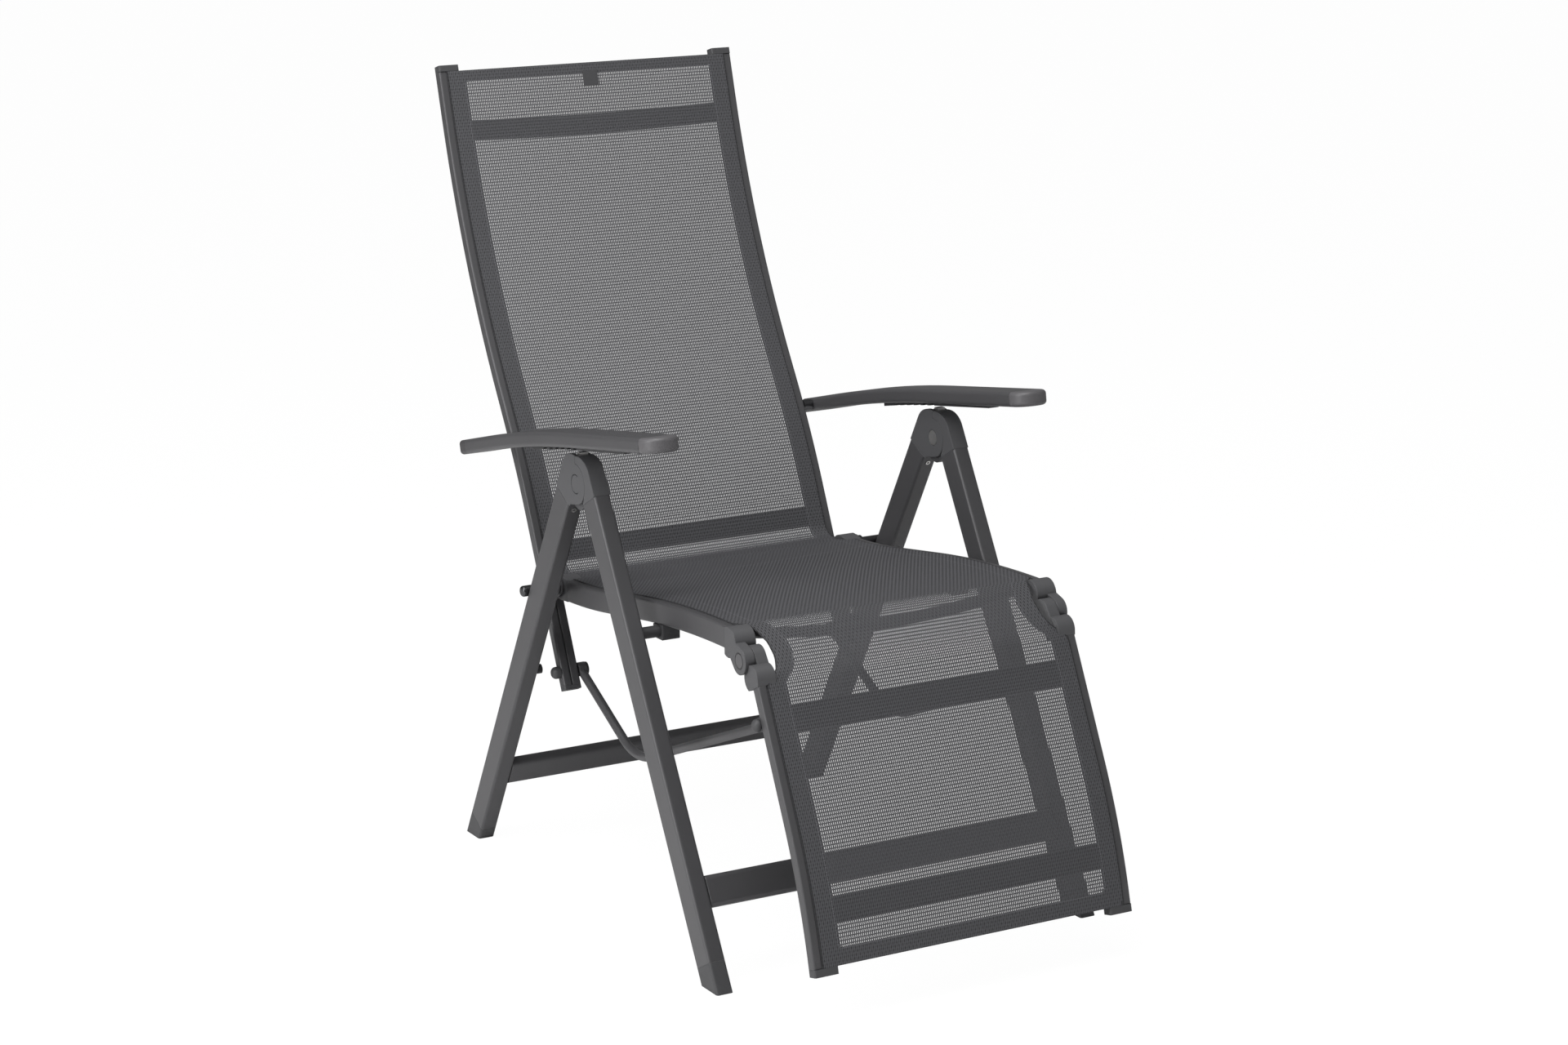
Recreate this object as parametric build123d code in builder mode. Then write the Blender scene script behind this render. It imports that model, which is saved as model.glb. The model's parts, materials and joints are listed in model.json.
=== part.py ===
from build123d import *
from math import sin, cos, radians
import os

# Reclining garden armchair with an A-frame, a mesh sling and a hinged leg rest.
# X runs across the chair, Y from its front to its back, Z up, in millimetres.
# The sitter faces -Y, so the sitter's left side is +X.

# A-frame
hub_height = 599.0
hub_y = -4.0
frame_half_width = 290.0
leg_thickness = 24.0
leg_depth = 40.0
leg_wall = 1.8
leg_corner = 3.5
leg_offset = 26.0
front_leg_angle = 28.4
rear_leg_angle = 31.1
fold_angle = 57.0
front_bar_height = 108.5
rear_bar_height = 122.0
leg_bar_width = 42.0
leg_bar_depth = 18.0
leg_bar_corner = 6.0
foot_length = 32.0
foot_spigot = 18.0

# Hub heads
hub_radius = 36.5
disc_radius = 27.5
mark_radius = 13.5
mark_groove = 1.2
cheek_thickness = 5.6
head_length = 32.5
rear_head_length = 41.0
head_spigot = 26.0
hub_pin_radius = 6.0
hub_pin_head_radius = 10.5
hub_pin_head = 1.6
hub_pin_cover = 2.0
catch_length = 9.0
catch_root = 10.0
catch_rise = 6.0
catch_top = hub_height + hub_radius + catch_rise

# Rails of the seat, back and leg rest
rail_room = 29.0
rail_width = 26.0
rail_half_width = frame_half_width - leg_thickness - rail_room
rail_depth = 16.0
seat_rail_depth = 30.0
rail_corner = 2.5
rail_wall = 1.8
welt_from_outside = 12.5
welt_channel = 6.0
welt_slot = 1.8
welt_lip = 1.6
cloth_thickness = 0.9
cloth_gap = 0.35

# Back
back_foot_drop = 330.0
back_foot_height = hub_height - back_foot_drop
back_lean = 23.3
back_lower_length = 235.6
lumbar_radius = 1250.0
lumbar_bend = 7.5
back_middle_length = 30.0
head_radius = 1500.0
head_bend = 15.8
back_upper_length = 65.6
back_bar_width = 30.0
back_bar_depth = 11.0
back_bar_bow = 24.0
back_cap_length = 9.0
back_cap_reach = 5.0
foot_cap_length = 6.0
back_cloth_start_share = 0.2414
back_lower_share = 0.2102
back_upper_share = 0.9056
tab_share = 0.9859

# Seat
recline_drop = 183.6
recline_height = hub_height - recline_drop
rail_behind_recline = 60.6
seat_pivot_drop = 181.0
seat_pivot_height = hub_height - seat_pivot_drop
seat_pivot_radius = 8.0
seat_front_ahead = 323.0
seat_front_drop = 147.0
seat_front_height = hub_height - seat_front_drop
seat_front_radius = 1971.0
seat_front_bend = 7.5
seat_middle_length = 100.0
seat_rear_radius = 1229.0
seat_rear_bend = 5.5
seat_bar_width = 28.0
seat_bar_depth = 11.0
seat_bar_bow = 18.0
seat_bar_behind_front = 20.0
block_width = 28.0
block_wall = 2.5
block_reach = 16.0
boss_radius = 17.5
boss_drop = 2.0
stop_radius = 7.75
bolt_radius = 5.0
stop_nut_radius = 11.0
stop_nut = 6.0
stop_past_leg = 6.5
plate_thickness = 4.0
plate_radius = 13.0
rivet_radius = 4.5
rivet_head = 2.2

# Knuckles between the seat and the leg rest
knuckle_ahead = 361.0
knuckle_drop = 167.5
knuckle_height = hub_height - knuckle_drop
knuckle_radius = 18.0
knuckle_overhang = 4.0
knuckle_tongue = 16.0
seat_nose_radius = 20.0
seat_nose_drop_share = 0.125
leg_nose_share = 1.7
knuckle_pin_radius = 5.0
knuckle_head_radius = 10.5
knuckle_head = 2.0

# Leg rest
leg_rail_start = 44.5
leg_rail_start_angle = 52.0
leg_rail_lean = 25.0
leg_upper_length = 172.0
leg_radius = 848.0
leg_bend = 12.5
leg_bar_tall = 35.0
leg_bar_thin = 9.0
leg_cap_length = 10.0
leg_cap_reach = 8.0
leg_upper_share = 0.13
leg_lower_share = 0.81
rod_pin_behind = 14.5
rod_pin_drop = 45.0
lug_radius = 9.0

# Link rods
rod_radius = 6.2
rod_eye_radius = 10.0
rod_eye_play = 3.4
rod_bolt_radius = 3.5
rod_knob_radius = 8.6
rod_knob = 8.0
back_rod_knob = 12.0
knob_round_share = 0.8
eye_reach_share = 0.8
rod_bend_radius = 100.0
rod_corner_ahead = 171.0
rod_corner_drop = 90.0
rod_rear_drop = 311.0
rod_rear_height = hub_height - rod_rear_drop
rod_side_gap = 1.3
rod_eye_thickness = 12.0

# Armrests
armrest_width = 52.0
armrest_thickness = 20.5
armrest_corner = 5.5
armrest_wall = 1.8
armrest_tail = 8.0
armrest_rise_angle = 13.3
armrest_rear_length = 88.0
armrest_bend = 5.5
armrest_radius = 2600.0
armrest_front_length = 222.0
armrest_pivot_drop = 3.5
armrest_pivot_height = hub_height - armrest_pivot_drop
armrest_overhang = 14.0
armrest_outside = frame_half_width + armrest_overhang
armrest_front_cap = 30.0
armrest_rear_cap = 24.0
armrest_cap_corner = 24.0
armrest_cap_rear_corner = 6.5
armrest_cap_edge = 5.4
armrest_bolt_radius = 4.0
armrest_bolt_head = 8.0
armrest_nut_radius = 5.5
catch_plate_width = 16.0
catch_plate_thickness = 5.0
catch_plate_length = 285.0
catch_plate_rear = 130.0
notch_start = 40.0
notch_pitch = 19.0
notch_count = 6
notch_depth = 2.6
notch_width = 11.0

# Small pieces
screw_radius = 3.5
screw_hole_radius = 1.6
screw_head = 0.8
buffer_radius = 6.8
buffer_rise = 15.5
tab_width = 24.0
tab_length = 22.0
tab_thickness = 1.2

# Clearances
running_gap = 0.05
side_gap = 0.5
seat_gap = 0.3
plug_gap = 0.2
overrun = 2.0

sides = (("left", 1), ("right", -1))

os.makedirs("parts", exist_ok=True)


def save(part, name):
    part.label = name
    export_step(part, f"parts/{name}.step")
    print(name, len(part.solids()), round(part.volume))


def side_plane(side, inner, outer):
    # A side view plane from which an extrusion along +X fills |x| from inner to outer
    return Plane.YZ.offset(inner if side > 0 else -outer)


def add_disc(side, inner, outer, point, radius, mode=Mode.ADD):
    with BuildSketch(side_plane(side, inner, outer)) as shape:
        with Locations((point.Y, point.Z)):
            Circle(radius)
    extrude(shape.sketch, amount=outer - inner, mode=mode)


def turned(point, centre, angle):
    # A side view point turned about the X axis through centre, as a hinge turns it
    step = point - centre
    swing = radians(angle)
    return Vector(0, centre.Y + step.Y * cos(swing) - step.Z * sin(swing),
                  centre.Z + step.Y * sin(swing) + step.Z * cos(swing))


# Leg frames: each leg has a plane with local x from the hub down the leg, and local y out of the frame
leg_inner = frame_half_width - leg_thickness
leg_middle = frame_half_width - leg_thickness / 2
hub = Vector(0, hub_y, hub_height)
front_down = Vector(0, -sin(radians(front_leg_angle)), -cos(radians(front_leg_angle)))
rear_down = Vector(0, sin(radians(rear_leg_angle)), -cos(radians(rear_leg_angle)))
front_out = Vector(0, -cos(radians(front_leg_angle)), sin(radians(front_leg_angle)))
rear_out = Vector(0, cos(radians(rear_leg_angle)), sin(radians(rear_leg_angle)))


def leg_point(down, out, along, outward):
    return hub + down * along + out * outward


def leg_at_height(down, out, height):
    along = (hub.Z + out.Z * leg_offset - height) / -down.Z
    return leg_point(down, out, along, leg_offset)


def leg_view(side, down, out, inner, outer):
    # Side view plane at the hub with local x down the leg and local y out of the frame
    x = inner if side > 0 else -outer
    normal = down.cross(out)
    if normal.X < 0:
        x += outer - inner
    return Plane(origin=(x, hub.Y, hub.Z), x_dir=down, z_dir=normal)


def add_leg_outline(start, end):
    with Locations(((start + end) / 2, leg_offset)):
        Rectangle(end - start, leg_depth)


def add_floor_cut():
    # Everything below the floor
    span = hub.Z + frame_half_width
    with BuildSketch(Plane.XY) as shape:
        with Locations((0, hub.Y)):
            Rectangle(2 * span, 2 * span)
    extrude(shape.sketch, amount=-span, mode=Mode.SUBTRACT)


def leg_length(down, out):
    return (hub.Z + out.Z * leg_offset) / -down.Z


# Curves of the rails in the side view, each with the sitter's side at local -y or +y of its section
recline_behind = (leg_depth / 2 + stop_radius + seat_gap) / cos(radians(rear_leg_angle))
recline = leg_at_height(rear_down, rear_out, recline_height) + Vector(0, recline_behind, 0)
back_run = Vector(0, sin(radians(back_lean)), cos(radians(back_lean)))
back_out = Vector(0, cos(radians(back_lean)), -sin(radians(back_lean)))
rail_beside_recline = recline + back_out * rail_behind_recline
back_foot = rail_beside_recline + back_run * ((back_foot_height - rail_beside_recline.Z) / back_run.Z)

with BuildLine() as back_flat:
    lower_run = PolarLine((back_foot.Y, back_foot.Z), back_lower_length, 90 - back_lean)
    lumbar_arc = JernArc(lower_run @ 1, lower_run % 1, lumbar_radius, -lumbar_bend)
    middle_run = PolarLine(lumbar_arc @ 1, back_middle_length, 90 - back_lean - lumbar_bend)
    head_arc = JernArc(middle_run @ 1, middle_run % 1, head_radius, head_bend)
    PolarLine(head_arc @ 1, back_upper_length, 90 - back_lean - lumbar_bend + head_bend)
back_line = Plane.YZ * back_flat.wire()

seat_front = Vector(0, hub_y - seat_front_ahead, seat_front_height)
with BuildLine() as seat_flat:
    front_arc = JernArc((seat_front.Y, seat_front.Z), (1, 0), seat_front_radius, -seat_front_bend)
    seat_run = PolarLine(front_arc @ 1, seat_middle_length, -seat_front_bend)
    JernArc(seat_run @ 1, seat_run % 1, seat_rear_radius, seat_rear_bend)
seat_line = Plane.YZ * seat_flat.wire()

knuckle = Vector(0, hub_y - knuckle_ahead, knuckle_height)
leg_start_run = Vector(0, -sin(radians(leg_rail_start_angle)), -cos(radians(leg_rail_start_angle)))
leg_top = knuckle + leg_start_run * leg_rail_start
leg_down = Vector(0, -sin(radians(leg_rail_lean)), -cos(radians(leg_rail_lean)))
with BuildLine() as leg_flat:
    upper_run = PolarLine((leg_top.Y, leg_top.Z), leg_upper_length, -90 - leg_rail_lean)
    JernArc(upper_run @ 1, upper_run % 1, leg_radius, leg_bend)
leg_line = Plane.YZ * leg_flat.wire()

# Each rail set: its curve, its section depth, and on which local y side the sitter is
back_set = (back_line, rail_depth, -1)
seat_set = (seat_line, seat_rail_depth, -1)
leg_set = (leg_line, rail_depth, 1)
rail_inner = rail_half_width - rail_width
welt_middle = rail_half_width - welt_from_outside
cloth_half_width = welt_middle + welt_slot / 2 - running_gap


def section_plane(line, share=0.0):
    return Plane(origin=line @ share, x_dir=(1, 0, 0), z_dir=line % share)


def rail_point(line_set, share, toward_sitter=0.0):
    line, depth, sitter = line_set
    plane = section_plane(line, share)
    return plane.origin + plane.y_dir * (sitter * toward_sitter)


def share_at_height(line, height):
    low, high = 0.0, 1.0
    rising = (line @ 1).Z > (line @ 0).Z
    for step in range(40):
        middle = (low + high) / 2
        if ((line @ middle).Z < height) == rising:
            low = middle
        else:
            high = middle
    return (low + high) / 2


def sweep_layer(line_set, start, end, near, far, inner, outer, side=0, mode=Mode.ADD):
    # A layer along a rail curve: near and far are depths from the curve toward the sitter
    line, depth, sitter = line_set
    path = line.trim(start, end) if start > 0 or end < 1 else line
    with BuildSketch(section_plane(path)) as shape:
        middle = side * (inner + outer) / 2
        width = outer - inner if side else 2 * outer
        with Locations((middle, sitter * (near + far) / 2)):
            Rectangle(width, far - near)
    sweep(shape.sketch, path=path, mode=mode)


def rail_section(side, depth, sitter, outer, inner):
    # Extruded tube with a welt channel that opens toward the sitter
    chamber_depth = depth - 2 * rail_wall
    inner_chamber = welt_middle - welt_channel / 2 - rail_wall - (inner + rail_wall)
    outer_chamber = outer - rail_wall - (welt_middle + welt_channel / 2 + rail_wall)
    channel_place = depth / 2 - welt_lip - welt_channel / 2
    rear_room = depth - rail_wall - welt_lip - welt_channel - rail_wall
    with Locations((side * (inner + outer) / 2, 0)):
        RectangleRounded(outer - inner, depth, rail_corner)
    with Locations((side * (inner + rail_wall + inner_chamber / 2), 0)):
        Rectangle(inner_chamber, chamber_depth, mode=Mode.SUBTRACT)
    with Locations((side * (outer - rail_wall - outer_chamber / 2), 0)):
        Rectangle(outer_chamber, chamber_depth, mode=Mode.SUBTRACT)
    with Locations((side * welt_middle, sitter * channel_place)):
        Rectangle(welt_channel, welt_channel, mode=Mode.SUBTRACT)
    with Locations((side * welt_middle, sitter * depth / 2)):
        Rectangle(welt_slot, 2 * welt_lip + overrun, mode=Mode.SUBTRACT)
    with Locations((side * welt_middle, -sitter * (depth / 2 - rail_wall - rear_room / 2))):
        Rectangle(welt_channel, rear_room, mode=Mode.SUBTRACT)


# Places that several pieces share
seat_pivot = leg_at_height(front_down, front_out, seat_pivot_height)
boss = recline - Vector(0, 0, boss_drop)
seat_outer = rail_half_width - side_gap
seat_inner = rail_inner + side_gap
rod_rear_share = share_at_height(back_line, rod_rear_height)
rod_rear = back_line @ rod_rear_share
rod_front_share = rod_pin_drop / leg_line.length
rod_front = rail_point(leg_set, rod_front_share, -rod_pin_behind)
rod_corner = rod_rear - Vector(0, rod_corner_ahead, rod_corner_drop)
rod_outer = rail_inner - rod_side_gap
rod_inner = rod_outer - rod_eye_thickness
rod_middle = (rod_outer + rod_inner) / 2
armrest_share = share_at_height(back_line, armrest_pivot_height)
armrest_pivot = back_line @ armrest_share
armrest_inside = armrest_outside - armrest_width
knuckle_outer = rail_half_width + knuckle_overhang
tongue_inner = rail_inner - side_gap
tongue_outer = tongue_inner + knuckle_tongue
cheek_inner = tongue_outer + side_gap
plate_outer = rail_half_width + plate_thickness


# Front frame

front_length = leg_length(front_down, front_out)
rear_length = leg_length(rear_down, rear_out)


def leg_tube(side, down, out, start, end):
    # Flat tube between its head and its foot cap
    centre = leg_point(down, out, start, leg_offset) + Vector(side * leg_middle, 0, 0)
    inner_thickness = leg_thickness - 2 * leg_wall
    inner_depth = leg_depth - 2 * leg_wall
    with BuildSketch(Plane(origin=centre, x_dir=(1, 0, 0), z_dir=down)) as shape:
        RectangleRounded(leg_thickness, leg_depth, leg_corner)
        RectangleRounded(inner_thickness, inner_depth, leg_corner - leg_wall, mode=Mode.SUBTRACT)
    extrude(shape.sketch, amount=end - start)


def leg_spigot(side, down, out, start, end):
    # The part of a head or a foot cap that sits inside the tube
    centre = leg_point(down, out, start, leg_offset) + Vector(side * leg_middle, 0, 0)
    inset = 2 * (leg_wall + plug_gap)
    with BuildSketch(Plane(origin=centre, x_dir=(1, 0, 0), z_dir=down)) as shape:
        RectangleRounded(leg_thickness - inset, leg_depth - inset, leg_corner - leg_wall)
    extrude(shape.sketch, amount=end - start)


def foot_cap(side, down, out, length):
    start = length - foot_length
    centre = leg_point(down, out, start, leg_offset) + Vector(side * leg_middle, 0, 0)
    with BuildSketch(Plane(origin=centre, x_dir=(1, 0, 0), z_dir=down)) as shape:
        RectangleRounded(leg_thickness, leg_depth, leg_corner)
    extrude(shape.sketch, amount=foot_length + leg_depth)
    leg_spigot(side, down, out, start - foot_spigot, start)
    add_floor_cut()


def screw_place():
    along = rear_head_length + head_spigot / 2
    return leg_point(rear_down, rear_out, along, leg_offset - leg_depth / 2)


for name, side in sides:
    with BuildPart() as front_leg:
        leg_tube(side, front_down, front_out, head_length, front_length - foot_length)
    save(front_leg.part, f"front_leg_{name}")

    with BuildPart() as rear_leg:
        leg_tube(side, rear_down, rear_out, rear_head_length, rear_length - foot_length)
        hole = screw_place() + Vector(side * leg_middle, 0, 0)
        with BuildSketch(Plane(origin=hole - rear_out * overrun, x_dir=(1, 0, 0), z_dir=rear_out)):
            Circle(screw_hole_radius)
        extrude(amount=leg_wall + 2 * overrun, mode=Mode.SUBTRACT)
    save(rear_leg.part, f"rear_leg_{name}")

with BuildPart() as front_feet:
    for name, side in sides:
        foot_cap(side, front_down, front_out, front_length)
save(front_feet.part, "front_feet")

with BuildPart() as rear_feet:
    for name, side in sides:
        foot_cap(side, rear_down, rear_out, rear_length)
save(rear_feet.part, "rear_feet")


def leg_bar(down, out, height, outward):
    # Flat cross bar between the legs' inner faces
    place = leg_at_height(down, out, height) + out * outward
    inner_width = leg_bar_width - 2 * leg_wall
    inner_depth = leg_bar_depth - 2 * leg_wall
    with BuildSketch(Plane(origin=place - Vector(leg_inner, 0, 0), x_dir=down, z_dir=(1, 0, 0))) as shape:
        RectangleRounded(leg_bar_width, leg_bar_depth, leg_bar_corner)
        RectangleRounded(inner_width, inner_depth, leg_bar_corner - leg_wall, mode=Mode.SUBTRACT)
    extrude(shape.sketch, amount=2 * leg_inner)


bar_outward = (leg_depth - leg_bar_depth) / 2 - side_gap
with BuildPart() as front_crossbar:
    leg_bar(front_down, front_out, front_bar_height, bar_outward)
save(front_crossbar.part, "front_crossbar")

with BuildPart() as rear_crossbar:
    leg_bar(rear_down, rear_out, rear_bar_height, -bar_outward)
save(rear_crossbar.part, "rear_crossbar")


# Hub heads: the front head is a dome with a pocket each side, and the rear head's cheeks turn in them

def head_outline(radius, outward, length):
    # Round toward the other leg, oval toward the outer face of its own leg, in the leg's view
    with BuildSketch(mode=Mode.PRIVATE) as outline:
        Ellipse(radius, outward)
        with Locations((0, outward)):
            Rectangle(4 * outward, 2 * outward, mode=Mode.INTERSECT)
        Circle(radius)
        add_leg_outline(length - leg_corner, length)
        make_hull()
        with Locations((length - 2 * leg_depth, 0)):
            Rectangle(4 * leg_depth, 4 * leg_depth, mode=Mode.INTERSECT)
    return outline.sketch


hub_outward = leg_offset + leg_depth / 2
cheek_inner_x = frame_half_width - cheek_thickness
cheek_levels = ((cheek_inner_x, frame_half_width), (leg_inner, leg_inner + cheek_thickness))
tongue_levels = (leg_inner + cheek_thickness + side_gap, cheek_inner_x - side_gap)
pin_end = frame_half_width - hub_pin_cover
folded_down = turned(hub + rear_down, hub, -fold_angle) - hub
folded_out = turned(hub + rear_out, hub, -fold_angle) - hub

for name, side in sides:
    with BuildPart() as front_hub:
        with BuildSketch(leg_view(side, front_down, front_out, leg_inner, frame_half_width)):
            add(head_outline(hub_radius, hub_outward, head_length))
        extrude(amount=leg_thickness)
        for low, high in cheek_levels:
            inner = low - side_gap if low > leg_middle else low - overrun
            outer = high + overrun if low > leg_middle else high + side_gap
            # Pocket for the disc and, behind the crown, for the rear head's dome
            with BuildSketch(side_plane(side, inner, outer)):
                with Locations((hub.Y, hub.Z)):
                    Circle(disc_radius + side_gap)
                with Locations((hub.Y + leg_depth, hub.Z)):
                    Rectangle(2 * leg_depth, 4 * leg_depth)
            extrude(amount=outer - inner, mode=Mode.SUBTRACT)
            with BuildSketch(leg_view(side, folded_down, folded_out, inner, outer)):
                with BuildSketch(mode=Mode.PRIVATE) as swept:
                    Circle(disc_radius + side_gap)
                    with Locations((rear_head_length, leg_offset - side_gap)):
                        Rectangle(2 * leg_corner, leg_depth)
                    make_hull()
                add(swept.sketch)
            extrude(amount=outer - inner, mode=Mode.SUBTRACT)
        add_disc(side, leg_inner, frame_half_width, hub, hub_pin_radius + running_gap, Mode.SUBTRACT)
        leg_spigot(side, front_down, front_out, head_length, head_length + head_spigot)
    save(front_hub.part, f"front_hub_{name}")

    with BuildPart() as rear_hub:
        for low, high in cheek_levels:
            with BuildSketch(leg_view(side, rear_down, rear_out, low, high)):
                add(head_outline(disc_radius, disc_radius, rear_head_length))
            extrude(amount=high - low)
            dome = head_outline(hub_radius, hub_outward, rear_head_length)
            with BuildSketch(side_plane(side, low, high)):
                with BuildSketch(mode=Mode.PRIVATE) as behind:
                    with Locations((hub.Y + side_gap + leg_depth, hub.Z)):
                        Rectangle(2 * leg_depth, 4 * leg_depth)
                    with Locations(Location((hub.Y, hub.Z), -90 + rear_leg_angle)):
                        with Locations((0, 2 * leg_depth)):
                            Rectangle(4 * leg_depth, 4 * leg_depth, mode=Mode.INTERSECT)
                    with Locations(Location((hub.Y, hub.Z), -90 + rear_leg_angle)):
                        add(dome, mode=Mode.INTERSECT)
                add(behind.sketch)
            extrude(amount=high - low)
        with BuildSketch(leg_view(side, rear_down, rear_out, leg_inner, frame_half_width)):
            add_leg_outline(rear_head_length - leg_corner, rear_head_length)
        extrude(amount=leg_thickness)
        leg_spigot(side, rear_down, rear_out, rear_head_length, rear_head_length + head_spigot)
        add_disc(side, leg_inner - overrun, pin_end, hub, hub_pin_radius + running_gap, Mode.SUBTRACT)
        add_disc(side, leg_inner - overrun, leg_inner + hub_pin_head, hub, hub_pin_head_radius + side_gap,
                 Mode.SUBTRACT)
        with BuildSketch(side_plane(side, frame_half_width - mark_groove, frame_half_width)):
            with Locations((hub.Y, hub.Z)):
                Circle(mark_radius)
                Circle(mark_radius - mark_groove, mode=Mode.SUBTRACT)
            with Locations((hub.Y - mark_radius, hub.Z)):
                Rectangle(mark_radius, 2 * mark_radius, mode=Mode.SUBTRACT)
        extrude(amount=mark_groove, mode=Mode.SUBTRACT)
    save(rear_hub.part, f"rear_hub_{name}")

with BuildPart() as hub_pins:
    for name, side in sides:
        add_disc(side, leg_inner, leg_inner + hub_pin_head - running_gap, hub, hub_pin_head_radius)
        add_disc(side, leg_inner, pin_end - side_gap, hub, hub_pin_radius)
save(hub_pins.part, "hub_pins")

# Metal catches on the crowns of the front heads, standing under the catch plates
with BuildPart() as catch_pins:
    for name, side in sides:
        with BuildSketch(Plane.XY.offset(catch_top)):
            with Locations((side * leg_middle, hub.Y)):
                Rectangle(tongue_levels[1] - tongue_levels[0], catch_length)
        extrude(amount=-catch_root)
        with BuildSketch(leg_view(side, front_down, front_out, leg_inner, frame_half_width)):
            add(head_outline(hub_radius, hub_outward, head_length))
        extrude(amount=leg_thickness, mode=Mode.SUBTRACT)
save(catch_pins.part, "catch_pins")

with BuildPart() as leg_screws:
    for name, side in sides:
        place = screw_place() + Vector(side * leg_middle, 0, 0)
        with BuildSketch(Plane(origin=place, x_dir=(1, 0, 0), z_dir=-rear_out)):
            Circle(screw_radius)
            Circle(screw_hole_radius, mode=Mode.SUBTRACT)
        extrude(amount=screw_head)
save(leg_screws.part, "leg_screws")

# Rubber buffers on the rear legs' inner faces, level with the knobs of the rods
buffer_place = leg_at_height(rear_down, rear_out, rod_rear_height)
with BuildPart() as leg_buffers:
    for name, side in sides:
        add_disc(side, leg_inner - buffer_rise, leg_inner, buffer_place, buffer_radius)
save(leg_buffers.part, "leg_buffers")

with BuildPart() as seat_pivot_pins:
    for name, side in sides:
        add_disc(side, rail_inner - side_gap, leg_inner, seat_pivot, seat_pivot_radius)
save(seat_pivot_pins.part, "seat_pivot_pins")


# Seat

def drilled(side, point, radius):
    add_disc(side, rail_inner - overrun, rail_half_width + overrun, point, radius, Mode.SUBTRACT)


def make_rail(side, line_set, outer, inner):
    line, depth, sitter = line_set
    with BuildSketch(section_plane(line)) as shape:
        rail_section(side, depth, sitter, outer, inner)
    sweep(shape.sketch, path=line)


def make_welt(side, line_set):
    # Cord that holds the cloth's edge in the channel
    line, depth, sitter = line_set
    far = depth / 2 - welt_lip - seat_gap
    near = depth / 2 - welt_lip - welt_channel + seat_gap
    half = welt_channel / 2 - seat_gap
    sweep_layer(line_set, 0, 1, near, far, welt_middle - half, welt_middle + half, side)


def make_sling(line_set, start, end):
    line, depth, sitter = line_set
    near = depth / 2 + cloth_gap
    far = near + cloth_thickness
    sweep_layer(line_set, start, end, near, far, 0, cloth_half_width)
    for name, side in sides:
        sweep_layer(line_set, start, end, depth / 2 - welt_lip, far, cloth_half_width - cloth_thickness,
                    cloth_half_width, side)


for name, side in sides:
    with BuildPart() as seat_rail:
        make_rail(side, seat_set, seat_outer, seat_inner)
    save(seat_rail.part, f"seat_rail_{name}")

with BuildPart() as seat_welt_cords:
    for name, side in sides:
        make_welt(side, seat_set)
save(seat_welt_cords.part, "seat_welt_cords")

with BuildPart() as seat_sling:
    make_sling(seat_set, 0, 1)
save(seat_sling.part, "seat_sling")


def bowed_bar(line_set, share, width, depth, bow, half_span, setback):
    # Bar between two rails that bows away from the sitter at its middle
    line, rail, sitter = line_set
    plane = section_plane(line, share)
    away = plane.y_dir * -sitter
    start = plane.origin + away * setback
    reach = half_span + overrun
    with BuildLine() as bow_line:
        ThreePointArc(start - Vector(reach, 0, 0), start + away * bow, start + Vector(reach, 0, 0))
    path = bow_line.wire()
    section = Plane(origin=path @ 0, x_dir=plane.z_dir, z_dir=path % 0)
    with BuildSketch(section) as shape:
        SlotOverall(width, depth)
        SlotOverall(width - 2 * rail_wall, depth - 2 * rail_wall, mode=Mode.SUBTRACT)
    sweep(shape.sketch, path=path)
    split(bisect_by=Plane.YZ.offset(half_span), keep=Keep.BOTTOM)
    split(bisect_by=Plane.YZ.offset(-half_span), keep=Keep.TOP)


def straight_bar(line_set, share, width, depth, half_span, setback=0.0):
    line, rail, sitter = line_set
    plane = section_plane(line, share)
    place = plane.origin - plane.y_dir * (sitter * setback)
    start = place - Vector(half_span, 0, 0)
    with BuildSketch(Plane(origin=start, x_dir=plane.z_dir, z_dir=(1, 0, 0))) as shape:
        SlotOverall(width, depth)
        SlotOverall(width - 2 * rail_wall, depth - 2 * rail_wall, mode=Mode.SUBTRACT)
    extrude(shape.sketch, amount=2 * half_span)


with BuildPart() as seat_front_bar:
    front_bar_share = seat_bar_behind_front / seat_line.length
    bowed_bar(seat_set, front_bar_share, seat_bar_width, seat_bar_depth, seat_bar_bow, seat_inner, 0)
save(seat_front_bar.part, "seat_front_bar")

# Bearing blocks: each fills the space between its rail and the pivot pin
block_low = seat_pivot.Z - seat_pivot_radius - block_wall
block_high = seat_pivot.Z + seat_pivot_radius + block_reach
with BuildPart() as bearing_blocks:
    for name, side in sides:
        with BuildSketch(side_plane(side, seat_inner, seat_outer)):
            with Locations((seat_pivot.Y, (block_low + block_high) / 2)):
                RectangleRounded(block_width, block_high - block_low, rail_corner)
        extrude(amount=seat_outer - seat_inner)
        sweep_layer(seat_set, 0, 1, -seat_rail_depth / 2, seat_rail_depth, seat_inner - overrun,
                    seat_outer + overrun, side, Mode.SUBTRACT)
        add_disc(side, seat_inner - overrun, seat_outer + overrun, seat_pivot,
                 seat_pivot_radius + running_gap, Mode.SUBTRACT)
save(bearing_blocks.part, "bearing_blocks")

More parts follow.
